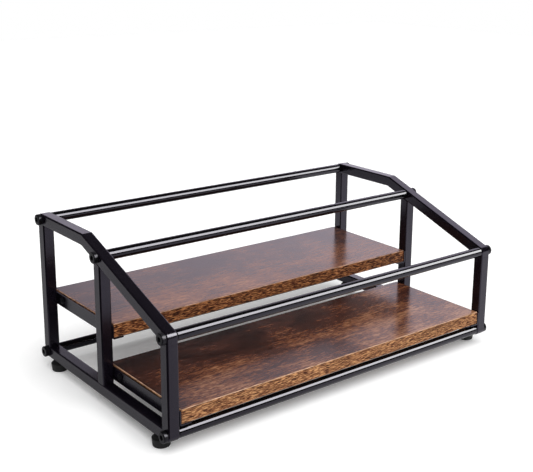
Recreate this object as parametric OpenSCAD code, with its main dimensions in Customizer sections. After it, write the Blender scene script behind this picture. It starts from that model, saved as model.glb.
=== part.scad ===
// Two-tier bottle rack: two welded tube side frames, five bolted cross bars, two boards on angles and four feet.
// The front faces -Y, X runs along the length, and Z = 0 is the surface that the feet stand on.

/* [Side frame] */
// Length over the outer faces of the two side frames
frame_length = 355; // [250:1:600]
// Depth over the front and rear uprights
frame_depth = 210; // [180:1:300]
// Height of the side frame at the rear, from the underside of the bottom rail
rear_height = 132.5; // [120:0.5:200]
// Height of the side frame at the front, from the underside of the bottom rail
front_height = 88; // [70:1:110]
// Level run of the top rail, from the rear bar to the mitre where it starts to slope
level_run = 76; // [40:1:84]

/* [Frame tube] */
// Side of the square tube
tube = 10; // [9:0.5:12]
// Wall of the square tube
tube_wall = 1; // [0.8:0.1:1.4]
// Outer corner radius of the square tube
tube_corner = 1.2; // [0.6:0.1:2]
// Depth of the ground weld seam round the short neck where a rail meets an upright
seam_depth = 0.1; // [0.05:0.05:0.3]

/* [Cross bars] */
// Diameter of the round cross bars
bar_d = 9; // [8.5:0.5:12]
// Bore along the middle of a cross bar
bar_bore_d = 5; // [3:0.5:5.5]
// Depth of the threaded part at each end of a cross bar
bar_thread_depth = 20; // [16:1:40]
// Chamfer round the ends of a cross bar
bar_chamfer = 0.4; // [0.2:0.1:0.8]

/* [Frame bolts] */
// Thread diameter of the bolts that hold the cross bars
bolt_d = 6; // [5:0.5:6]
// Length of a bolt under its head
bolt_length = 25; // [22:1:28]
// Diameter of the round bolt head
bolt_head_d = 9.5; // [9:0.5:12]
// Height of the bolt head
bolt_head_h = 3.5; // [3:0.5:6]
// Radius round the edge of the bolt head
bolt_head_round = 0.7; // [0.4:0.1:1.4]
// Hexagon socket in the bolt head, across its flats
bolt_socket = 4; // [3:0.5:6]
// Depth of the hexagon socket
bolt_socket_depth = 2.2; // [1.5:0.1:2.6]

/* [Shelf boards] */
// Thickness of a shelf board
board_thick = 12; // [9:1:15]
// Top of the upper shelf above the underside of the bottom rail
upper_shelf_height = 61; // [55:1:75]
// Top of the lower shelf above the underside of the bottom rail
lower_shelf_height = 25; // [25:1:34]
// Set-back of a board behind the front and rear faces of its uprights
board_set_back = 0.5; // [0:0.1:2]
// Small radius on the edges of a board
board_round = 0.8; // [0.3:0.1:1.5]

/* [Shelf angles] */
// Sheet thickness of the angles that carry the boards
angle_thick = 1.2; // [1:0.1:2]
// Height of the upright leg of an angle
angle_height = 12; // [10:0.5:14]
// Width of the flat leg under the board
angle_width = 10; // [8:0.5:16]
// Inside bend radius of an angle
angle_bend = 0.5; // [0.3:0.1:1]

/* [Shelf screws] */
// Thread diameter of the screws that hold the boards
screw_d = 3.5; // [3:0.5:4]
// Length of a screw under its head
screw_length = 14; // [12:1:25]
// Diameter of the screw head
screw_head_d = 6; // [5.5:0.5:7.5]
// Height of the screw head
screw_head_h = 1.9; // [1.2:0.1:2.5]
// Distance of a screw from the front and rear end of its angle
screw_inset = 20.5; // [15:0.5:40]

/* [Feet] */
// Diameter of a foot
foot_d = 15; // [13:0.5:24]
// Height of a foot
foot_height = 9.2; // [8:0.1:14]
// Distance of a foot's axis from the front and rear of the frame
foot_inset = 19; // [15:0.5:40]
// Chamfer round the top of a foot
foot_chamfer = 2.2; // [1:0.1:2.5]
// Radius round the bottom edge of a foot
foot_round = 1.5; // [0.8:0.1:2.5]
// Amount by which the radius of a foot shrinks from its widest part to its bottom
foot_taper = 0.5; // [0.2:0.1:1.5]
// Thread diameter of the stud of a foot
stud_d = 5; // [4:0.5:5]
// Length of the stud that stands out of the foot
stud_reach = 8.6; // [8:0.1:9]
// Thickness of the square nut that takes the stud
nut_thick = 2.7; // [2:0.1:3]

/* [Fits] */
// Gap between a board's end and its angle
board_end_gap = 0.3; // [0.2:0.1:1]
// Radial clearance of a thread, drawn plain, in its hole
thread_gap = 0.05; // [0.03:0.01:0.1]
// Radial clearance of a bolt or a stud in a plain hole
hole_gap = 0.3; // [0.2:0.05:0.5]
// Gap between a foot that is screwed home and the bottom rail
foot_gap = 0.3; // [0.2:0.1:0.5]
// Gap between the square nut and the inside of the tube
nut_gap = 0.1; // [0.05:0.05:0.2]

/* [Hidden] */
SIDES = ["left", "right"];
ENDS = ["front", "rear"];
FRAME_NODES = ["bottom_rail", "rear_top_rail", "front_top_rail",
    "front_upright", "middle_upright", "rear_upright",
    "upper_shelf_angle", "lower_shelf_angle", "foot_nuts", "frame_bolts"];
FOOT_NODES = ["foot_stud", "foot"];
BAR_NODES = ["rear_top_bar", "middle_bar", "front_top_bar", "rear_bottom_bar", "front_bottom_bar"];
SHELF_NODES = ["upper_shelf", "lower_shelf", "upper_shelf_screws", "lower_shelf_screws"];

$fn = 64;
overrun = tube;
half = tube / 2;
rail_z = foot_height + foot_gap;
inner = tube - 2 * tube_wall;
frame_x = frame_length / 2;
inner_x = frame_x - tube;

// Axes of the cross bars in the side frame, as depth and height
rear_y = frame_depth / 2 - half;
front_y = -rear_y;
bottom_z = rail_z + half;
rear_z = rail_z + rear_height - half;
front_z = rail_z + front_height - half;
bend_y = rear_y - level_run;
slope = atan2(rear_z - front_z, bend_y - front_y);
slope_run = norm([bend_y - front_y, rear_z - front_z]);
middle_z = rear_z - bend_y * tan(slope);
BAR_AXES = [
    [rear_y, rear_z],
    [0, middle_z],
    [front_y, front_z],
    [rear_y, bottom_z],
    [front_y, bottom_z]
];

// Bays between the uprights: the upper shelf lies behind the middle upright, the lower one in front of it
bay_depth = frame_depth / 2 + half;
upper_bay_y = rear_y + half - bay_depth;
lower_bay_y = front_y - half;
board_depth = bay_depth - 2 * board_set_back;
board_x = inner_x - angle_thick - board_end_gap;
upper_board_z = rail_z + upper_shelf_height - board_thick;
lower_board_z = rail_z + lower_shelf_height - board_thick;
screw_z = board_thick / 2;

// Places of the feet and their studs
foot_y = frame_depth / 2 - foot_inset;
foot_top_r = foot_d / 2 - foot_chamfer;
stud_depth = foot_height / 2;

// Turns a child that is drawn for the left frame into the one on the named side
module on_side(side) {
    if (side == "left") children();
    else mirror([1, 0, 0]) children();
}

// Square section with rounded corners
module tube_section(side, corner) {
    square([side, side - 2 * corner], center = true);
    square([side - 2 * corner, side], center = true);
    for (x = [-1, 1], y = [-1, 1])
        translate([x * (side / 2 - corner), y * (side / 2 - corner)]) circle(corner);
}

// Straight length of tube along +Y, open along its whole length when hollow
module outer_run(run) {
    rotate([-90, 0, 0]) linear_extrude(run) tube_section(tube, tube_corner);
}

module inner_run(run) {
    rotate([-90, 0, 0]) linear_extrude(run) square(inner, center = true);
}

// Round nose of a tube: its section turned about the bar axis
module outer_nose() {
    rotate([0, 90, 0]) rotate_extrude() {
        translate([0, -half]) square([half - tube_corner, tube]);
        translate([0, -half + tube_corner]) square([half, tube - 2 * tube_corner]);
        for (y = [-1, 1]) translate([half - tube_corner, y * (half - tube_corner)]) circle(tube_corner);
    }
}

module inner_nose() {
    rotate([0, 90, 0]) cylinder(h = inner, d = inner, center = true);
}

// Short square neck between a nose and the upright that meets it, below the bar axis or above it
module outer_neck(way) {
    translate([0, 0, way < 0 ? -half : 0])
        linear_extrude(half) tube_section(tube - 2 * seam_depth, tube_corner);
}

module inner_neck(way) {
    translate([0, 0, way < 0 ? -half - overrun : 0])
        linear_extrude(half + overrun) square(inner - 2 * seam_depth, center = true);
}

// What lies past the mitre of the top rail, along +Y from its corner
module past_mitre() {
    translate([-tube, 0, -2 * tube]) cube([2 * tube, 4 * tube, 4 * tube]);
}

module bolt_hole() {
    rotate([0, 90, 0]) cylinder(h = tube + 2 * overrun, d = bolt_d + 2 * hole_gap, center = true);
}

// Centre plane of the left side frame
module in_left_frame(y, z) {
    translate([-frame_x + half, y, z]) children();
}

// Rear half of the top rail: level, with a round nose at the rear bar and a mitre at its front end
module rear_top_rail() {
    color("#232326") difference() {
        union() {
            in_left_frame(bend_y - overrun, rear_z) outer_run(level_run + overrun);
            in_left_frame(rear_y, rear_z) {
                outer_nose();
                outer_neck(-1);
            }
        }
        in_left_frame(bend_y - 2 * overrun, rear_z) inner_run(level_run + 2 * overrun);
        in_left_frame(rear_y, rear_z) {
            inner_nose();
            inner_neck(-1);
            bolt_hole();
        }
        in_left_frame(bend_y, rear_z) rotate([slope / 2, 0, 0]) mirror([0, 1, 0]) past_mitre();
    }
}

// Front half of the top rail: sloping, with a round nose at the front bar and a hole for the middle bar
module front_top_rail() {
    color("#232326") difference() {
        in_left_frame(front_y, front_z) {
            rotate([slope, 0, 0]) union() {
                outer_run(slope_run + overrun);
                outer_nose();
            }
            outer_neck(-1);
        }
        in_left_frame(front_y, front_z) {
            rotate([slope, 0, 0]) union() {
                inner_run(slope_run + 2 * overrun);
                inner_nose();
            }
            inner_neck(-1);
            bolt_hole();
        }
        in_left_frame(0, middle_z) bolt_hole();
        in_left_frame(bend_y, rear_z) rotate([slope / 2, 0, 0]) past_mitre();
    }
}

// Bottom rail: its lower corners are round about the bottom bars, and the feet screw in from below
module bottom_rail() {
    color("#232326") difference() {
        union() {
            in_left_frame(front_y, bottom_z) outer_run(rear_y - front_y);
            for (y = [front_y, rear_y]) in_left_frame(y, bottom_z) {
                outer_nose();
                outer_neck(1);
            }
        }
        in_left_frame(front_y, bottom_z) inner_run(rear_y - front_y);
        for (y = [front_y, rear_y]) in_left_frame(y, bottom_z) {
            inner_nose();
            inner_neck(1);
            bolt_hole();
        }
        for (y = [-foot_y, foot_y]) in_left_frame(y, rail_z - overrun)
            cylinder(h = overrun + 2 * tube_wall, d = stud_d + 2 * hole_gap);
    }
}

// Upright of square tube between two heights, standing on the bottom rail
module upright(y, height) {
    color("#232326") in_left_frame(y, rail_z + tube) difference() {
        linear_extrude(height) tube_section(tube, tube_corner);
        translate([0, 0, -overrun]) linear_extrude(height + 2 * overrun) square(inner, center = true);
    }
}

module front_upright() {
    upright(front_y, front_height - 2 * tube);
}

module rear_upright() {
    upright(rear_y, rear_height - 2 * tube);
}

// The middle upright is cut at the slope, where it meets the underside of the top rail
module middle_upright() {
    difference() {
        upright(0, middle_z - rail_z);
        in_left_frame(0, middle_z) rotate([slope, 0, 0])
            translate([-tube, -2 * tube, -half]) cube([2 * tube, 4 * tube, 3 * tube]);
    }
}

// Bent sheet angle along +Y from its front end, with its upright leg against the frame
module shelf_angle(y, z) {
    outer_bend = angle_bend + angle_thick;
    color("#232326") translate([-inner_x, y + bay_depth, z]) rotate([90, 0, 0])
        linear_extrude(bay_depth) difference() {
            union() {
                translate([0, outer_bend - angle_thick]) square([angle_thick, angle_height - outer_bend]);
                translate([outer_bend, -angle_thick]) square([angle_width - outer_bend, angle_thick]);
                intersection() {
                    translate([outer_bend, outer_bend - angle_thick]) circle(outer_bend);
                    translate([0, -angle_thick]) square(outer_bend);
                }
            }
            translate([outer_bend, outer_bend - angle_thick]) circle(angle_bend);
        }
}

module screw_holes(y, z, d) {
    for (end = [screw_inset, bay_depth - screw_inset])
        translate([-inner_x, y + end, z]) rotate([0, 90, 0])
            cylinder(h = 2 * (angle_thick + board_end_gap + screw_length), d = d, center = true);
}

module upper_shelf_angle() {
    difference() {
        shelf_angle(upper_bay_y, upper_board_z);
        screw_holes(upper_bay_y, upper_board_z + screw_z, screw_d + 2 * hole_gap);
    }
}

module lower_shelf_angle() {
    difference() {
        shelf_angle(lower_bay_y, lower_board_z);
        screw_holes(lower_bay_y, lower_board_z + screw_z, screw_d + 2 * hole_gap);
    }
}

// Flat outline with rounded corners, from its lower left corner
module eased_outline(width, height, ease) {
    translate([ease, 0]) square([width - 2 * ease, height]);
    translate([0, ease]) square([width, height - 2 * ease]);
    for (x = [ease, width - ease], y = [ease, height - ease]) translate([x, y]) circle(ease);
}

// Shelf board between the angles, with eased edges all round
module shelf(y, z) {
    color("#6b4a35") difference() {
        translate([-board_x, y + board_set_back, z]) intersection() {
            rotate([90, 0, 90]) linear_extrude(2 * board_x)
                eased_outline(board_depth, board_thick, board_round);
            translate([0, board_depth, 0]) rotate([90, 0, 0]) linear_extrude(board_depth)
                eased_outline(2 * board_x, board_thick, board_round);
        }
        for (side = SIDES) on_side(side) screw_holes(y, z + screw_z, screw_d + 2 * thread_gap);
    }
}

module upper_shelf() {
    shelf(upper_bay_y, upper_board_z);
}

module lower_shelf() {
    shelf(lower_bay_y, lower_board_z);
}

// Pan head screw along +X, its head outside the angle
module shelf_screw() {
    slot = screw_head_d / 6;
    color("#3a3a3c") rotate([0, 90, 0]) difference() {
        union() {
            cylinder(h = screw_length, d = screw_d);
            translate([0, 0, -screw_head_h / 2]) cylinder(h = screw_head_h / 2, d = screw_head_d);
            translate([0, 0, -screw_head_h])
                cylinder(h = screw_head_h / 2, d1 = screw_head_d - screw_head_h, d2 = screw_head_d);
        }
        for (turn = [0, 90]) rotate([0, 0, turn])
            translate([-screw_head_d / 4, -slot / 2, -screw_head_h - overrun])
                cube([screw_head_d / 2, slot, screw_head_h / 2 + overrun]);
    }
}

module shelf_screws(y, z) {
    for (side = SIDES) on_side(side)
        for (end = [screw_inset, bay_depth - screw_inset])
            translate([-inner_x, y + end, z + screw_z]) shelf_screw();
}

module upper_shelf_screws() {
    shelf_screws(upper_bay_y, upper_board_z);
}

module lower_shelf_screws() {
    shelf_screws(lower_bay_y, lower_board_z);
}

// Round cross bar, threaded at both ends, between the inner faces of the side frames
module cross_bar(axis) {
    r = bar_d / 2;
    thread_r = bolt_d / 2 + thread_gap;
    bore_r = bar_bore_d / 2;
    thread_x = inner_x - bar_thread_depth;
    color("#101012") translate([0, axis[0], axis[1]]) rotate([0, 90, 0]) rotate_extrude()
        polygon([
            [thread_r, inner_x],
            [r - bar_chamfer, inner_x],
            [r, inner_x - bar_chamfer],
            [r, -inner_x + bar_chamfer],
            [r - bar_chamfer, -inner_x],
            [thread_r, -inner_x],
            [thread_r, -thread_x],
            [bore_r, -thread_x],
            [bore_r, thread_x],
            [thread_r, thread_x]
        ]);
}

// Bolt with a round head and a hexagon socket, pointing along +X from the outer face of the left frame
module frame_bolt() {
    head_r = bolt_head_d / 2;
    color("#161618") rotate([0, 90, 0]) difference() {
        union() {
            cylinder(h = bolt_length, d = bolt_d);
            rotate_extrude() {
                translate([0, -bolt_head_h]) square([head_r - bolt_head_round, bolt_head_h]);
                translate([0, -bolt_head_h + bolt_head_round])
                    square([head_r, bolt_head_h - bolt_head_round]);
                translate([head_r - bolt_head_round, -bolt_head_h + bolt_head_round])
                    circle(bolt_head_round);
            }
        }
        translate([0, 0, -bolt_head_h - overrun])
            cylinder(h = overrun + bolt_socket_depth, d = bolt_socket / cos(30), $fn = 6);
    }
}

module frame_bolts() {
    for (axis = BAR_AXES) translate([-frame_x, axis[0], axis[1]]) frame_bolt();
}

// Square nuts fixed inside the bottom rail over the stud holes
module foot_nuts() {
    nut_side = inner - 2 * nut_gap;
    color("#8a8c90") for (y = [-foot_y, foot_y])
        in_left_frame(y, rail_z + tube_wall) difference() {
            translate([-nut_side / 2, -nut_side / 2, 0]) cube([nut_side, nut_side, nut_thick]);
            translate([0, 0, -overrun]) cylinder(h = 3 * overrun, d = stud_d + 2 * thread_gap);
        }
}

// Screw-in foot: a round moulded pad and a steel stud that the pad turns on
module foot_stud(y) {
    color("#8a8c90") in_left_frame(y, foot_height - stud_depth + foot_gap)
        cylinder(h = stud_depth - foot_gap + stud_reach, d = stud_d);
}

module foot(y) {
    r = foot_d / 2;
    bottom_r = r - foot_taper;
    color("#151517") in_left_frame(y, 0) difference() {
        rotate_extrude() {
            square([bottom_r - foot_round, foot_round]);
            translate([bottom_r - foot_round, foot_round]) circle(foot_round);
            polygon([
                [0, foot_round],
                [bottom_r, foot_round],
                [r, foot_height - foot_chamfer],
                [foot_top_r, foot_height],
                [0, foot_height]
            ]);
        }
        translate([0, 0, foot_height - stud_depth])
            cylinder(h = stud_depth + overrun, d = stud_d + 2 * thread_gap);
    }
}

for (side = SIDES) {
    on_side(side) bottom_rail();
    on_side(side) rear_top_rail();
    on_side(side) front_top_rail();
    on_side(side) front_upright();
    on_side(side) middle_upright();
    on_side(side) rear_upright();
    on_side(side) upper_shelf_angle();
    on_side(side) lower_shelf_angle();
    on_side(side) foot_nuts();
    on_side(side) frame_bolts();
    on_side(side) foot_stud(-foot_y);
    on_side(side) foot(-foot_y);
    on_side(side) foot_stud(foot_y);
    on_side(side) foot(foot_y);
}
cross_bar(BAR_AXES[0]);  // rear_top_bar
cross_bar(BAR_AXES[1]);  // middle_bar
cross_bar(BAR_AXES[2]);  // front_top_bar
cross_bar(BAR_AXES[3]);  // rear_bottom_bar
cross_bar(BAR_AXES[4]);  // front_bottom_bar
upper_shelf();
lower_shelf();
upper_shelf_screws();
lower_shelf_screws();
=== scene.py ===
import math

import bmesh
import bpy
from bpy.props import FloatProperty, FloatVectorProperty, PointerProperty
from mathutils import Euler, Matrix, Vector


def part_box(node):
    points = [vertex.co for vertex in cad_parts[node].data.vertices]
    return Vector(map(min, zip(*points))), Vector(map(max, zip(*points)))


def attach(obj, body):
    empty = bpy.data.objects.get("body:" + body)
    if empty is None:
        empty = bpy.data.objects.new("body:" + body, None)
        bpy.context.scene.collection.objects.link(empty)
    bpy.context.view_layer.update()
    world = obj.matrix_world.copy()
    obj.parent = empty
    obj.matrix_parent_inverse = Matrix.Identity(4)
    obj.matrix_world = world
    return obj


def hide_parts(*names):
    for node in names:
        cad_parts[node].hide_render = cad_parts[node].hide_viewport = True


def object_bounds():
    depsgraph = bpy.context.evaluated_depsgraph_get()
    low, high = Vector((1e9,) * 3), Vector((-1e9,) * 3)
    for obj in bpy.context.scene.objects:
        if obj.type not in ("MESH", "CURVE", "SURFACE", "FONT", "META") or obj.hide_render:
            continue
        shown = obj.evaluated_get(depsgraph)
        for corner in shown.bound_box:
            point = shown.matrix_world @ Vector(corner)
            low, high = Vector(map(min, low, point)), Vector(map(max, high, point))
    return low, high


bl_info = {
    "name": "Bottle Rack",
    "version": (1, 0, 0),
    "blender": (4, 5, 0),
    "location": "View3D > Sidebar > Bottle Rack",
    "description": "Finishes for a two-tier bottle rack of square tube, round bars and wood-look boards",
    "category": "Object",
}

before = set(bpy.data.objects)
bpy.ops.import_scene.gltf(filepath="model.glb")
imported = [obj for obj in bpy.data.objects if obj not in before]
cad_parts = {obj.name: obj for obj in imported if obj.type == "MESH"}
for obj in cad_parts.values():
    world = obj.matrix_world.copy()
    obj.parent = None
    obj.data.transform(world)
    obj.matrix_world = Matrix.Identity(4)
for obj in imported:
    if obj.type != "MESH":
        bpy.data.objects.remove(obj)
CAD_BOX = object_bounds()
MM = 0.001
SIDES = ("left", "right")
ENDS = ("front", "rear")
COATED = ("bottom_rail", "rear_top_rail", "front_top_rail", "front_upright", "middle_upright",
          "rear_upright", "upper_shelf_angle", "lower_shelf_angle")
BARS = ("rear_top_bar", "middle_bar", "front_top_bar", "rear_bottom_bar", "front_bottom_bar")

# The materials of a board, in the order of its slots
FOIL, TAPE, LINE = range(3)
# How far a face's normal points up or down, from 0 to 1, past which it has foil or shows the pale line
# painted on its arrises as a highlight
FOIL_RISE = 0.95
LINE_RISE = 0.2
# A face whose normal lies this close to an axis is one of the board's flat faces
FLAT = 0.999

# What sets the print of one board apart from the other's:
# shift moves its patterns under the board, in sizes of a feature, and tones are the stops of its colours.
# drift is how the tone changes with X, Y and Z, per metre, and start is the tone at the origin.
# contrast is how much each pattern moves the tone. tape holds the dark, middle and light of the edge tape.
# line is the pale colour painted on the arrises, a painted highlight.
BOARDS = {
    "upper_shelf": {
        "shift": (108.65, 59.95, 1.37),
        "tones": ((0.24, "#3f3033"), (0.42, "#5c4039"), (0.60, "#764b38"), (0.80, "#976646")),
        "drift": (0.1, -3.4, 0.0),
        "start": 0.59,
        "contrast": {"cloud": 0.95, "streak": 0.35, "fibre": 0.85},
        "tape": ("#150803", "#542b18", "#aa7146"),
        "line": "#b08a72",
    },
    "lower_shelf": {
        "shift": (93.35, 70.0, 2.15),
        "tones": ((0.02, "#190c0a"), (0.24, "#341d18"), (0.42, "#4b2b22"), (0.60, "#6f432c"),
                  (0.80, "#9a6c4d")),
        "drift": (1.1, -3.45, 0.0),
        "start": 0.26,
        "contrast": {"cloud": 1.45, "streak": 0.6, "fibre": 1.1},
        "tape": ("#341a0e", "#774a30", "#bc8c5e"),
        "line": "#c79f82",
    },
}

# Levels of the white panel that gloss mirrors: its own, what its foot, its right part and the head of
# its right part add, and the haze over the whole back
PANEL = {"own": 0.95, "foot": 0.2, "bright": 0.2, "head": 0.4, "haze": 0.06}
# Levels of the plain light: from all round, and what comes from above and from the front
PLAIN = {"round": 0.3, "above": 1.75, "front": 1.0}

# The floor's white, and the tone painted on it for gloss alone, a painted reflection: X in metres and the
# level there, at the left and right
FLOOR_WHITE = 0.96
FLOOR_LEFT = (-0.2, 0.44)
FLOOR_RIGHT = (0.06, 0.9)
# Where the floor that gloss mirrors turns black, a painted dark reflection, in metres of Y
FLOOR_END = 0.6
# The edge of the painted dark reflection passes this far outside the nearest corner, and its normal has
# this bearing from Y
GLOSS_DARK_MARGIN = 8 * MM
GLOSS_DARK_BEARING = math.radians(58)

# The width in millimetres of the film for which the camera's focal length is given
FILM_WIDTH = 36
NEAREST_SEEN = 10 * MM


def linear(code):
    """The linear red, green, blue and alpha of an sRGB hex colour such as #1b1a1d."""
    parts = [int(code.lstrip("#")[i:i + 2], 16) / 255 for i in (0, 2, 4)]
    return tuple(c / 12.92 if c <= 0.04045 else ((c + 0.055) / 1.055) ** 2.4 for c in parts) + (1.0,)


def grey(level):
    """An opaque grey of a linear level."""
    return (level, level, level, 1.0)


def times(colour, factor):
    """A linear colour made lighter or darker by a factor."""
    return tuple(part * factor for part in colour[:3]) + (1.0,)


# A black coat's gloss has a faint violet cast
COOL = linear("#ede4ff")
# The gloss of the boards' lacquer has a faint rosy cast
ROSY = linear("#f3e3e7")


def add(tree, kind, inputs=None, stops=(), **settings):
    """Adds a node with its settings and the stops of its colour ramp, and sets or links its inputs."""
    node = tree.nodes.new(kind)
    for name, value in settings.items():
        setattr(node, name, value)
    for index, (place, colour) in enumerate(stops):
        points = node.color_ramp.elements
        point = points[index] if index < len(points) else points.new(place)
        point.position = place
        point.color = colour
    for key, value in (inputs or {}).items():
        if isinstance(value, bpy.types.NodeSocket):
            tree.links.new(value, node.inputs[key])
        else:
            node.inputs[key].default_value = value
    return node


def per_mm(size, *stretch):
    """The scale of a pattern whose features are about size mm across, drawn out along each axis by its
    stretch."""
    return tuple(1 / (size * MM * s) for s in stretch) if stretch else 1 / (size * MM)


def material(name, shader_inputs):
    """A new material with its shader, and the node tree to build its patterns in."""
    made = bpy.data.materials.new(name)
    made.use_nodes = True
    tree = made.node_tree
    tree.nodes.clear()
    shader = add(tree, "ShaderNodeBsdfPrincipled", shader_inputs)
    add(tree, "ShaderNodeOutputMaterial", {"Surface": shader.outputs[0]})
    return made, tree, shader


def dress(node, made):
    """Gives a CAD node a material in each of its slots."""
    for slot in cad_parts[node].material_slots:
        slot.material = made


def powder_coated_steel(colour):
    """Steel tube with a gloss black powder coat: sprayed and baked, so it mirrors softly through a fine
    orange peel."""
    made, tree, shader = material("powder_coated_steel",
                                  {"IOR": 1.55, "Specular Tint": COOL, "Base Color": colour})
    spot = add(tree, "ShaderNodeTexCoord").outputs["Object"]
    # Orange peel 1.6 mm across, flecks of the baked powder 0.4 mm across, and its gloss in clouds of 30 mm
    peel = add(tree, "ShaderNodeTexNoise", {"Vector": spot, "Scale": per_mm(1.6), "Detail": 1.0})
    fleck = add(tree, "ShaderNodeTexNoise", {"Vector": spot, "Scale": per_mm(0.4), "Detail": 1.0})
    cloud = add(tree, "ShaderNodeTexNoise", {"Vector": spot, "Scale": per_mm(30), "Detail": 3.0})
    rough = add(tree, "ShaderNodeMapRange", {"Value": cloud.outputs[0], "To Min": 0.15, "To Max": 0.25})
    tree.links.new(rough.outputs[0], shader.inputs["Roughness"])
    heights = add(tree, "ShaderNodeMix", {"Factor": 0.35, "A": peel.outputs[0], "B": fleck.outputs[0]})
    bump = add(tree, "ShaderNodeBump", {"Height": heights.outputs[0], "Strength": 1.0,
                                        "Distance": 0.02 * MM})
    tree.links.new(bump.outputs[0], shader.inputs["Normal"])
    return made


def gloss_enamelled_rod(colour):
    """Round steel rod with a stoved gloss black enamel: it mirrors a lamp as one long bright line."""
    made, tree, shader = material("gloss_enamelled_rod",
                                  {"IOR": 1.5, "Specular Tint": COOL, "Base Color": colour})
    spot = add(tree, "ShaderNodeTexCoord").outputs["Object"]
    # Slow waves in the coat, 35 mm along the rod and 5 mm round it
    place = add(tree, "ShaderNodeMapping", {"Vector": spot, "Scale": per_mm(5, 7, 1, 1)})
    wave = add(tree, "ShaderNodeTexNoise", {"Vector": place.outputs[0], "Scale": 1.0, "Detail": 1.0})
    rough = add(tree, "ShaderNodeMapRange", {"Value": wave.outputs[0], "To Min": 0.05, "To Max": 0.09})
    tree.links.new(rough.outputs[0], shader.inputs["Roughness"])
    bump = add(tree, "ShaderNodeBump", {"Height": wave.outputs[0], "Strength": 1.0,
                                        "Distance": 0.003 * MM})
    tree.links.new(bump.outputs[0], shader.inputs["Normal"])
    return made


def blackened_bolt_steel(name, colour, roughness):
    """Cold-headed steel with a black oxide: a soft gloss, mottled by flecks 0.5 mm across."""
    made, tree, shader = material(name, {"IOR": 1.5, "Specular IOR Level": 0.35, "Specular Tint": COOL})
    spot = add(tree, "ShaderNodeTexCoord").outputs["Object"]
    fleck = add(tree, "ShaderNodeTexNoise", {"Vector": spot, "Scale": per_mm(0.5), "Detail": 3.0})
    tint = add(tree, "ShaderNodeMix", {"Factor": fleck.outputs[0], "A": colour, "B": times(colour, 1.5)},
               data_type="RGBA")
    tree.links.new(tint.outputs["Result"], shader.inputs["Base Color"])
    rough = add(tree, "ShaderNodeMapRange", {"Value": fleck.outputs[0], "To Min": roughness - 0.06,
                                             "To Max": roughness + 0.08})
    tree.links.new(rough.outputs[0], shader.inputs["Roughness"])
    return made


def moulded_foot_rubber(colour):
    """Moulded black rubber: matte, with a faint spark-eroded grain of 0.3 mm from its mould."""
    made, tree, shader = material("moulded_foot_rubber", {"IOR": 1.5})
    spot = add(tree, "ShaderNodeTexCoord").outputs["Object"]
    spark = add(tree, "ShaderNodeTexNoise", {"Vector": spot, "Scale": per_mm(0.3), "Detail": 2.0})
    tint = add(tree, "ShaderNodeMix", {"Factor": spark.outputs[0], "A": colour, "B": times(colour, 1.6)},
               data_type="RGBA")
    tree.links.new(tint.outputs["Result"], shader.inputs["Base Color"])
    rough = add(tree, "ShaderNodeMapRange", {"Value": spark.outputs[0], "To Min": 0.45, "To Max": 0.62})
    tree.links.new(rough.outputs[0], shader.inputs["Roughness"])
    bump = add(tree, "ShaderNodeBump", {"Height": spark.outputs[0], "Strength": 0.3,
                                        "Distance": 0.03 * MM})
    tree.links.new(bump.outputs[0], shader.inputs["Normal"])
    return made


def zinc_plated_steel():
    """Rolled thread or pressed nut with bright zinc: cool grey metal, its gloss in clouds of 2.5 mm."""
    made, tree, shader = material("zinc_plated_steel", {"Metallic": 1.0, "Base Color": linear("#b9bcc0")})
    spot = add(tree, "ShaderNodeTexCoord").outputs["Object"]
    cloud = add(tree, "ShaderNodeTexNoise", {"Vector": spot, "Scale": per_mm(2.5), "Detail": 3.0})
    rough = add(tree, "ShaderNodeMapRange", {"Value": cloud.outputs[0], "To Min": 0.24, "To Max": 0.42})
    tree.links.new(rough.outputs[0], shader.inputs["Roughness"])
    return made


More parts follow.
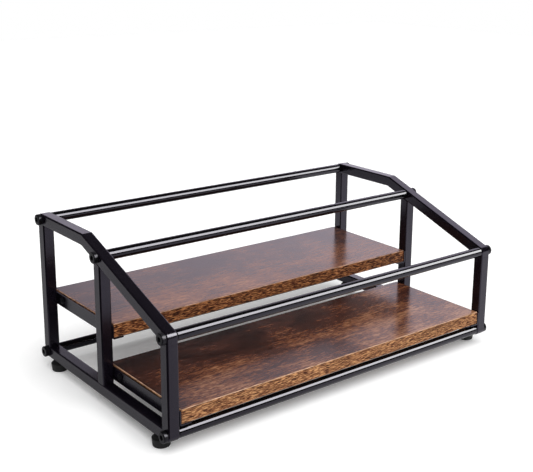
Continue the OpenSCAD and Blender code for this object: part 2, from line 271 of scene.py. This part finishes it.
def printed_walnut_foil(name, look):
    """Melamine foil with a rustic walnut print: charcoal clouds that drift into warm brown, with short
    fibres and dark pores along the board, under a satin lacquer that mirrors what stands on it."""
    made, tree, shader = material(name, {"IOR": 1.5, "Specular Tint": ROSY})
    spot = add(tree, "ShaderNodeTexCoord").outputs["Object"]
    # The print is bent by about 4 mm over 60 mm, so that no line of its grain runs dead straight
    bend = add(tree, "ShaderNodeTexNoise", {"Vector": spot, "Scale": per_mm(60), "Detail": 2.0})
    bent = add(tree, "ShaderNodeVectorMath", {0: bend.outputs["Color"], 1: (8 * MM, 9 * MM, 0.0)},
               operation="MULTIPLY")
    where = add(tree, "ShaderNodeVectorMath", {0: spot, 1: bent.outputs[0]}, operation="ADD").outputs[0]
    patterns = {}
    for pattern, scale, detail in (
            # 64 mm long and 46 mm wide
            ("cloud", per_mm(46, 1.4, 1, 1), 3.5),
            # 56 mm long and 4 mm wide
            ("streak", per_mm(4, 14, 1, 1), 2.0),
            # 7 mm long and 1.5 mm wide
            ("fibre", per_mm(1.5, 4.5, 1, 1), 3.0),
            # 5.5 mm long and 1.1 mm wide
            ("pore", per_mm(1.1, 5, 1, 1), 1.0)):
        place = add(tree, "ShaderNodeMapping", {"Vector": where, "Location": look["shift"], "Scale": scale})
        noise = add(tree, "ShaderNodeTexNoise", {"Vector": place.outputs[0], "Scale": 1.0,
                                                 "Detail": detail, "Roughness": 0.58})
        patterns[pattern] = noise.outputs[0]
    run = add(tree, "ShaderNodeVectorMath", {0: spot, 1: look["drift"]}, operation="DOT_PRODUCT")
    tone = add(tree, "ShaderNodeMath", {0: run.outputs["Value"], 1: look["start"]},
               operation="ADD").outputs[0]
    for pattern, weight in look["contrast"].items():
        middled = add(tree, "ShaderNodeMath", {0: patterns[pattern], 1: 0.5}, operation="SUBTRACT")
        tone = add(tree, "ShaderNodeMath", {0: middled.outputs[0], 1: weight, 2: tone},
                   operation="MULTIPLY_ADD").outputs[0]
    top = add(tree, "ShaderNodeValToRGB", {0: tone},
              stops=[(stop, linear(code)) for stop, code in look["tones"]])
    pore = add(tree, "ShaderNodeValToRGB", {0: patterns["pore"]},
               stops=((0.28, grey(0.45)), (0.42, grey(1.0))))
    printed = add(tree, "ShaderNodeMix", {"Factor": 1.0, "A": top.outputs[0], "B": pore.outputs[0]},
                  data_type="RGBA", blend_type="MULTIPLY")
    tree.links.new(printed.outputs["Result"], shader.inputs["Base Color"])
    rough = add(tree, "ShaderNodeMapRange", {"Value": patterns["fibre"], "To Min": 0.16, "To Max": 0.26})
    tree.links.new(rough.outputs[0], shader.inputs["Roughness"])
    bump = add(tree, "ShaderNodeBump", {"Height": patterns["fibre"], "Strength": 1.0,
                                        "Distance": 0.005 * MM})
    tree.links.new(bump.outputs[0], shader.inputs["Normal"])
    return made


def wood_print_edge_tape(name, look):
    """Edge tape with a printed open grain: rows of short dark fibres on golden brown, embossed and
    matte."""
    made, tree, shader = material(name, {"IOR": 1.45, "Specular IOR Level": 0.15})
    spot = add(tree, "ShaderNodeTexCoord").outputs["Object"]
    # Rows of fibres that rise and fall by 0.5 mm over 14 mm
    sway = add(tree, "ShaderNodeTexNoise", {"Vector": spot, "Scale": per_mm(14), "Detail": 2.0})
    swayed = add(tree, "ShaderNodeVectorMath", {0: sway.outputs["Color"], 1: (0.0, 0.0, 1.5 * MM)},
                 operation="MULTIPLY")
    where = add(tree, "ShaderNodeVectorMath", {0: spot, 1: swayed.outputs[0]}, operation="ADD").outputs[0]
    patterns = {}
    for pattern, scale in (
            # Fibres about 6 mm long in rows 1 mm apart
            ("dash", per_mm(0.65, 9, 9, 1)),
            # Knots 2 mm long between them
            ("knot", per_mm(0.65, 3.5, 3.5, 1)),
            # Shading 35 mm long
            ("broad", per_mm(14, 2.5, 2.5, 1))):
        place = add(tree, "ShaderNodeMapping", {"Vector": where, "Location": look["shift"], "Scale": scale})
        noise = add(tree, "ShaderNodeTexNoise", {"Vector": place.outputs[0], "Scale": 1.0, "Detail": 2.0,
                                                 "Roughness": 0.55})
        patterns[pattern] = noise.outputs[0]
    both = add(tree, "ShaderNodeMix", {"Factor": 0.25, "A": patterns["dash"], "B": patterns["knot"]})
    strip = add(tree, "ShaderNodeValToRGB", {0: both.outputs[0]},
                stops=[(stop, linear(code)) for stop, code in zip((0.41, 0.50, 0.60), look["tape"])])
    shade = add(tree, "ShaderNodeValToRGB", {0: patterns["broad"]},
                stops=((0.32, grey(0.82)), (0.62, grey(1.08))))
    shaded = add(tree, "ShaderNodeMix", {"Factor": 1.0, "A": strip.outputs[0], "B": shade.outputs[0]},
                 data_type="RGBA", blend_type="MULTIPLY")
    tree.links.new(shaded.outputs["Result"], shader.inputs["Base Color"])
    rough = add(tree, "ShaderNodeMapRange", {"Value": patterns["dash"], "To Min": 0.7, "To Max": 0.5})
    tree.links.new(rough.outputs[0], shader.inputs["Roughness"])
    bump = add(tree, "ShaderNodeBump", {"Height": patterns["dash"], "Strength": 1.0,
                                        "Distance": 0.05 * MM})
    tree.links.new(bump.outputs[0], shader.inputs["Normal"])
    return made


def arris_highlight_paint(name, look):
    """The rounded arris between foil and edge tape, painted as a thin pale line: a painted highlight."""
    made, tree, shader = material(name, {"IOR": 1.45, "Specular IOR Level": 0.3, "Roughness": 0.5})
    spot = add(tree, "ShaderNodeTexCoord").outputs["Object"]
    # Darker breaks in the painted highlight, about 7 mm long
    place = add(tree, "ShaderNodeMapping", {"Vector": spot, "Location": look["shift"],
                                            "Scale": per_mm(2.5, 3, 3, 1)})
    nick = add(tree, "ShaderNodeTexNoise", {"Vector": place.outputs[0], "Scale": 1.0, "Detail": 3.0})
    full = linear(look["line"])
    tint = add(tree, "ShaderNodeValToRGB", {0: nick.outputs[0]},
               stops=((0.36, times(full, 0.45)), (0.6, full)))
    tree.links.new(tint.outputs[0], shader.inputs["Base Color"])
    return made


def piece(name, bm, body, materials, node):
    """Turns a bmesh into a piece that rides on a body and takes the place of a CAD node."""
    mesh = bpy.data.meshes.new(name)
    bm.to_mesh(mesh)
    bm.free()
    for made in materials:
        mesh.materials.append(made)
    thing = bpy.data.objects.new(name, mesh)
    bpy.context.scene.collection.objects.link(thing)
    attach(thing, body)
    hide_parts(node)
    return thing


def thread(low, high, pitch=0.8 * MM, depth=0.49 * MM, steps=32, touching=0.001 * MM):
    """A rolled metric thread: one pitch of its profile spun up the stud, cut level at both ends and
    closed."""
    low, high = Vector(low), Vector(high)
    axis, crest = (low + high) / 2, (high.x - low.x) / 2
    # One turn too many at each end, for the cuts
    turns = math.ceil((high.z - low.z) / pitch) + 2
    bm = bmesh.new()
    # Root flat, flank, crest flat and flank, as parts of one pitch
    profile = [bm.verts.new((axis.x + crest - deep * depth, axis.y, low.z + (rise - 1) * pitch))
               for rise, deep in ((0, 1), (0.25, 1), (0.5625, 0), (0.6875, 0), (1, 1))]
    edges = [bm.edges.new(pair) for pair in zip(profile, profile[1:])]
    bmesh.ops.spin(bm, geom=profile + edges, cent=axis, axis=(0, 0, 1), dvec=(0, 0, pitch / steps),
                   angle=2 * math.pi * turns, steps=steps * turns, use_merge=False, use_duplicate=False)
    bmesh.ops.remove_doubles(bm, verts=bm.verts[:], dist=touching)
    for level, way in ((low.z, -1), (high.z, 1)):
        bmesh.ops.bisect_plane(bm, geom=bm.verts[:] + bm.edges[:] + bm.faces[:], plane_co=(0, 0, level),
                               plane_no=(0, 0, way), clear_outer=True)
        rim = [edge for edge in bm.edges if edge.is_boundary
               and all(abs(vert.co.z - level) < touching for vert in edge.verts)]
        bmesh.ops.holes_fill(bm, edges=rim, sides=0)
    bmesh.ops.recalc_face_normals(bm, faces=bm.faces[:])
    return bm


def matte_studio_floor(glow):
    """White studio floor: plain matte paint that keeps the rack's shadow, with the backdrop's white where
    it is seen. In gloss alone it is painted black on the camera's side of a line past the nearest corner, a
    painted dark reflection that draws a dark line along the corners of the tubes, and it is painted greyer
    to the left and black from half a metre behind the rack."""
    made, tree, shader = material("matte_studio_floor", {"Roughness": 0.9, "Specular IOR Level": 0.0,
                                                         "Emission Color": grey(1.0)})
    spot = add(tree, "ShaderNodeTexCoord").outputs["Object"]
    # For gloss the floor is painted black on the camera's side of this line, a painted dark reflection
    corner = Vector(CAD_BOX[0]) - Vector((GLOSS_DARK_MARGIN, GLOSS_DARK_MARGIN, 0))
    across = Vector((math.sin(GLOSS_DARK_BEARING), math.cos(GLOSS_DARK_BEARING), 0))
    reach = add(tree, "ShaderNodeVectorMath", {0: spot, 1: across}, operation="DOT_PRODUCT")
    clear_of_gloss_dark = add(tree, "ShaderNodeMath", {0: reach.outputs["Value"], 1: corner.dot(across)},
               operation="GREATER_THAN")
    place = add(tree, "ShaderNodeSeparateXYZ", {0: spot})
    near = add(tree, "ShaderNodeMath", {0: place.outputs["Y"], 1: FLOOR_END}, operation="LESS_THAN")
    tone = add(tree, "ShaderNodeMapRange", {
        "Value": place.outputs["X"], "From Min": FLOOR_LEFT[0], "From Max": FLOOR_RIGHT[0],
        "To Min": FLOOR_LEFT[1], "To Max": FLOOR_RIGHT[1]})
    lit = add(tree, "ShaderNodeMath", {0: clear_of_gloss_dark.outputs[0], 1: near.outputs[0]}, operation="MULTIPLY")
    toned = add(tree, "ShaderNodeMath", {0: lit.outputs[0], 1: tone.outputs[0]}, operation="MULTIPLY")
    # Glossy rays see the painted tone, a painted reflection; all other rays see the plain white
    path = add(tree, "ShaderNodeLightPath")
    paint = add(tree, "ShaderNodeMix", {"Factor": path.outputs["Is Glossy Ray"], "A": FLOOR_WHITE,
                                        "B": toned.outputs[0]})
    tree.links.new(paint.outputs[0], shader.inputs["Base Color"])
    lift = add(tree, "ShaderNodeMath", {0: path.outputs["Is Camera Ray"], 1: glow}, operation="MULTIPLY")
    tree.links.new(lift.outputs[0], shader.inputs["Emission Strength"])
    return made


class RackFinish(bpy.types.PropertyGroup):
    """Colours of the rack's coats and rubber, and the rounding of its boards"""
    frame_colour: FloatVectorProperty(
        name="Frame colour", description="Powder coat of the side frames", size=4,
        default=linear("#0b080e"), min=0, max=1, subtype="COLOR")
    bar_colour: FloatVectorProperty(
        name="Bar colour", description="Enamel of the cross bars", size=4,
        default=linear("#070708"), min=0, max=1, subtype="COLOR")
    bolt_colour: FloatVectorProperty(
        name="Bolt colour", description="Black oxide of the bolts", size=4,
        default=linear("#0a0a0b"), min=0, max=1, subtype="COLOR")
    foot_colour: FloatVectorProperty(
        name="Foot colour", description="Rubber of the feet", size=4,
        default=linear("#0e0e0f"), min=0, max=1, subtype="COLOR")
    board_ease: FloatProperty(
        name="Board edge", description="Radius on the edges of a board",
        default=0.8 * MM, min=0.2 * MM, unit="LENGTH")


class RackStage(bpy.types.PropertyGroup):
    """Sizes, places and levels of the floor, the light and the camera"""
    floor_size: FloatProperty(
        name="Floor", description="Side of the square floor", default=6.0, min=1, unit="LENGTH")
    floor_glow: FloatProperty(
        name="Floor glow", description="White added to the floor where it is seen", default=0.12,
        min=0, max=1, subtype="FACTOR")
    ambient: FloatProperty(
        name="Ambient", description="Plain light from all round", default=1.0, min=0)
    lamp_power: FloatProperty(
        name="Lamp power", description="Power of the strip lamp in watts", default=53.0, min=0,
        unit="POWER")
    lamp_colour: FloatVectorProperty(
        name="Lamp colour", description="Colour of the strip lamp", default=(0.93, 0.98, 0.84),
        min=0, max=1, subtype="COLOR")
    lamp_place: FloatVectorProperty(
        name="Lamp place", description="Centre of the strip lamp", default=(0.825, -0.781, 0.785),
        unit="LENGTH", subtype="TRANSLATION")
    lamp_tilt: FloatProperty(
        name="Lamp tilt", description="Tilt of the lamp about the bars", default=math.radians(47.6),
        subtype="ANGLE")
    lamp_size: FloatVectorProperty(
        name="Lamp size", description="Length and height of the lamp", size=2, default=(1.3, 0.8),
        unit="LENGTH")
    camera_place: FloatVectorProperty(
        name="Camera", description="Place of the camera", default=(-0.51878, -0.66779, 0.36759),
        unit="LENGTH", subtype="TRANSLATION")
    camera_turn: FloatVectorProperty(
        name="Camera turn", description="Turn of the camera about X, Y and Z",
        default=tuple(math.radians(a) for a in (75.867, -0.710, -39.020)), subtype="EULER")
    camera_lens: FloatProperty(
        name="Lens", description="Focal length in millimetres", default=65.617, min=10, unit="CAMERA")
    camera_shift: FloatVectorProperty(
        name="Shift", description="Shift of the camera, in parts of the picture's width", size=2,
        default=(-0.0541, -0.0807))


class RACK_OT_stage(bpy.types.Operator):
    """Floor, lamp, surroundings and the camera"""
    bl_idname = "rack.stage"
    bl_label = "Stage"

    def execute(self, context):
        stage = context.scene.rack_stage
        self.lay_floor(context.scene, stage)
        self.hang_lamp(context.scene, stage)
        self.light_surroundings(context.scene, stage)
        self.place_camera(context.scene, stage)
        context.scene.view_settings.view_transform = "Standard"
        return {"FINISHED"}

    def lay_floor(self, scene, stage):
        """A square floor under the rack."""
        bm = bmesh.new()
        bmesh.ops.create_grid(bm, x_segments=1, y_segments=1, size=stage.floor_size / 2)
        mesh = bpy.data.meshes.new("floor")
        bm.to_mesh(mesh)
        bm.free()
        floor = bpy.data.objects.new("floor", mesh)
        scene.collection.objects.link(floor)
        mesh.materials.append(matte_studio_floor(stage.floor_glow))

    def hang_lamp(self, scene, stage):
        """A strip lamp parallel to the bars and tilted about them, so that each bar mirrors it as one
        line."""
        data = bpy.data.lights.new("strip_lamp", "AREA")
        data.shape = "RECTANGLE"
        data.size, data.size_y = stage.lamp_size
        data.energy = stage.lamp_power
        data.color = stage.lamp_colour
        strip = bpy.data.objects.new("strip_lamp", data)
        strip.location = stage.lamp_place
        strip.rotation_euler.x = stage.lamp_tilt
        scene.collection.objects.link(strip)
        strip.visible_diffuse = False
        # Only the bars, the left rails and the left bolts get its light, as a line or a glint
        mirrors = bpy.data.collections.new("mirrors_of_the_lamp")
        for node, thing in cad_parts.items():
            if node.endswith("_bar") or node.startswith("left") and node.endswith(("_rail", "_bolts")):
                mirrors.objects.link(thing)
        strip.light_linking.receiver_collection = mirrors

    def light_surroundings(self, scene, stage):
        """Plain light from all round, and in gloss a white panel at the back right and a dim studio
        elsewhere."""
        world = bpy.data.worlds.new("studio")
        world.use_nodes = True
        tree = world.node_tree
        tree.nodes.clear()
        way = add(tree, "ShaderNodeTexCoord").outputs["Generated"]
        axes = add(tree, "ShaderNodeSeparateXYZ", {0: way})
        climb = add(tree, "ShaderNodeVectorMath", {0: way, 1: (1.2, 0.0, -1.0)}, operation="DOT_PRODUCT")
        lean = add(tree, "ShaderNodeVectorMath", {0: way, 1: (0.0, -0.42, 0.91)}, operation="DOT_PRODUCT")
        fades = {}
        # Each fade rises smoothly from 0 to 1 as its value goes from start to end
        for name, value, start, end in (
                # The panel's upper edge, which climbs to the right, then its lower, near and left edges
                ("slant", climb.outputs["Value"], -0.06, 0.25),
                ("sill", axes.outputs["Z"], 0.05, 0.18),
                ("back", axes.outputs["Y"], 0.0, 0.2),
                ("right", axes.outputs["X"], 0.0, 0.3),
                # The parts of the panel that are brighter than its middle, and the haze
                ("bright", axes.outputs["X"], 0.5, 0.7),
                ("foot", axes.outputs["Z"], 0.31, 0.25),
                ("head", axes.outputs["Z"], 0.35, 0.6),
                ("haze", axes.outputs["Y"], 0.2, 0.5),
                # The plain light from above, leaning forwards, and from the front
                ("above", lean.outputs["Value"], 0.6, 0.9),
                ("front", axes.outputs["Y"], -0.2, -0.8)):
            fades[name] = add(tree, "ShaderNodeMapRange", {"Value": value, "From Min": start,
                                                           "From Max": end},
                              interpolation_type="SMOOTHSTEP").outputs[0]
        fades["head"] = add(tree, "ShaderNodeMath", {0: fades["bright"], 1: fades["head"]},
                            operation="MULTIPLY").outputs[0]
        panel = PANEL["own"]
        for name in ("foot", "bright", "head"):
            panel = add(tree, "ShaderNodeMath", {0: fades[name], 1: PANEL[name], 2: panel},
                        operation="MULTIPLY_ADD").outputs[0]
        for name in ("slant", "sill", "back", "right"):
            panel = add(tree, "ShaderNodeMath", {0: panel, 1: fades[name]}, operation="MULTIPLY").outputs[0]
        panel = add(tree, "ShaderNodeMath", {0: fades["haze"], 1: PANEL["haze"], 2: panel},
                    operation="MULTIPLY_ADD").outputs[0]
        plain = PLAIN["round"]
        for name in ("above", "front"):
            plain = add(tree, "ShaderNodeMath", {0: fades[name], 1: PLAIN[name], 2: plain},
                        operation="MULTIPLY_ADD").outputs[0]
        ambient = add(tree, "ShaderNodeMath", {0: plain, 1: stage.ambient}, operation="MULTIPLY")
        path = add(tree, "ShaderNodeLightPath")
        lit = add(tree, "ShaderNodeMix", {"Factor": path.outputs["Is Glossy Ray"],
                                          "A": ambient.outputs[0], "B": panel})
        # The camera sees the backdrop as plain white
        shown = add(tree, "ShaderNodeMix", {"Factor": path.outputs["Is Camera Ray"],
                                            "A": lit.outputs[0], "B": 1.0})
        # In gloss the studio is a touch violet
        tint = add(tree, "ShaderNodeMix", {"Factor": path.outputs["Is Glossy Ray"], "A": grey(1.0),
                                           "B": linear("#f6efff")}, data_type="RGBA")
        light = add(tree, "ShaderNodeBackground", {"Color": tint.outputs["Result"],
                                                   "Strength": shown.outputs[0]})
        add(tree, "ShaderNodeOutputWorld", {"Surface": light.outputs[0]})
        scene.world = world

    def place_camera(self, scene, stage):
        """The camera at the viewing angle of the photograph."""
        data = bpy.data.cameras.new("camera")
        data.lens = stage.camera_lens
        data.sensor_width = FILM_WIDTH
        data.shift_x, data.shift_y = stage.camera_shift
        data.clip_start = NEAREST_SEEN
        camera = bpy.data.objects.new("camera", data)
        camera.location = stage.camera_place
        camera.rotation_euler = Euler(stage.camera_turn)
        scene.collection.objects.link(camera)
        scene.camera = camera


class RACK_OT_side_frames(bpy.types.Operator):
    """Powder coat on the tubes and angles of both side frames"""
    bl_idname = "rack.side_frames"
    bl_label = "Side frames"

    def execute(self, context):
        coat = powder_coated_steel(tuple(context.scene.rack_finish.frame_colour))
        for side in SIDES:
            for part in COATED:
                dress(f"{side}_{part}", coat)
        return {"FINISHED"}


class RACK_OT_cross_bars(bpy.types.Operator):
    """Gloss enamel on the cross bars"""
    bl_idname = "rack.cross_bars"
    bl_label = "Cross bars"

    def execute(self, context):
        enamel = gloss_enamelled_rod(tuple(context.scene.rack_finish.bar_colour))
        for bar in BARS:
            dress(bar, enamel)
        return {"FINISHED"}


class RACK_OT_fasteners(bpy.types.Operator):
    """Bolts, shelf screws, the nuts inside the rails and the threads of the foot studs"""
    bl_idname = "rack.fasteners"
    bl_label = "Fasteners"

    def execute(self, context):
        colour = tuple(context.scene.rack_finish.bolt_colour)
        bolts = blackened_bolt_steel("blackened_bolt_steel", colour, roughness=0.32)
        screws = blackened_bolt_steel("blackened_screw_steel", colour, roughness=0.4)
        zinc = zinc_plated_steel()
        for side in SIDES:
            dress(f"{side}_frame_bolts", bolts)
            dress(f"{side}_foot_nuts", zinc)
            for end in ENDS:
                node = f"{side}_{end}_foot_stud"
                body = f"{side}_{end}_levelling_foot"
                piece(node + "_thread", thread(*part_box(node)), body, (zinc,), node)
        for shelf in BOARDS:
            dress(f"{shelf}_screws", screws)
        return {"FINISHED"}


class RACK_OT_boards(bpy.types.Operator):
    """Shelf boards: walnut foil on the flat faces, edge tape round the sides and a pale line between them,
    a painted highlight on the arris
    """
    bl_idname = "rack.boards"
    bl_label = "Shelf boards"

    def execute(self, context):
        ease = context.scene.rack_finish.board_ease
        for node, look in BOARDS.items():
            low, high = (Vector(c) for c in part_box(node))
            size, middle = high - low, (high + low) / 2
            bm = bmesh.new()
            bmesh.ops.create_cube(bm, size=1.0,
                                  matrix=Matrix.Translation(middle) @ Matrix.Diagonal((*size, 1.0)))
            bmesh.ops.bevel(bm, geom=bm.edges[:], offset=ease, offset_type="OFFSET", affect="EDGES",
                            segments=5, profile=0.5, material=-1)
            for face in bm.faces:
                # The flat faces stay flat, so that the lacquer mirrors without a bend
                face.smooth = max(abs(part) for part in face.normal) < FLAT
                # Faces of the rounded arrises between the flat ones get the pale line, a painted highlight
                rise = abs(face.normal.z)
                face.material_index = FOIL if rise > FOIL_RISE else LINE if rise > LINE_RISE else TAPE
            piece(node + "_board", bm, "rack", (
                printed_walnut_foil(f"printed_walnut_foil_{node}", look),
                wood_print_edge_tape(f"wood_print_edge_tape_{node}", look),
                arris_highlight_paint(f"arris_highlight_paint_{node}", look)), node)
        return {"FINISHED"}


class RACK_OT_feet(bpy.types.Operator):
    """Moulded rubber on the feet"""
    bl_idname = "rack.feet"
    bl_label = "Feet"

    def execute(self, context):
        rubber = moulded_foot_rubber(tuple(context.scene.rack_finish.foot_colour))
        for side in SIDES:
            for end in ENDS:
                dress(f"{side}_{end}_foot", rubber)
        return {"FINISHED"}


OPERATORS = (RACK_OT_stage, RACK_OT_side_frames, RACK_OT_cross_bars, RACK_OT_fasteners, RACK_OT_boards,
             RACK_OT_feet)


class RACK_PT_panel(bpy.types.Panel):
    """Lists the rack's finishes and the steps that apply them"""
    bl_idname = "RACK_PT_panel"
    bl_label = "Bottle Rack"
    bl_space_type = "VIEW_3D"
    bl_region_type = "UI"
    bl_category = "Bottle Rack"

    def draw(self, context):
        layout = self.layout
        for group in (context.scene.rack_finish, context.scene.rack_stage):
            for name in group.__annotations__:
                layout.prop(group, name)
        for operator in OPERATORS:
            layout.operator(operator.bl_idname)


CLASSES = (RackFinish, RackStage) + OPERATORS + (RACK_PT_panel,)


def register():
    for cls in CLASSES:
        bpy.utils.register_class(cls)
    bpy.types.Scene.rack_finish = PointerProperty(type=RackFinish)
    bpy.types.Scene.rack_stage = PointerProperty(type=RackStage)


def unregister():
    del bpy.types.Scene.rack_stage
    del bpy.types.Scene.rack_finish
    for cls in reversed(CLASSES):
        bpy.utils.unregister_class(cls)


def main():
    register()
    bpy.ops.rack.stage()
    bpy.ops.rack.side_frames()
    bpy.ops.rack.cross_bars()
    bpy.ops.rack.fasteners()
    bpy.ops.rack.boards()
    bpy.ops.rack.feet()


if __name__ == "__main__":
    main()
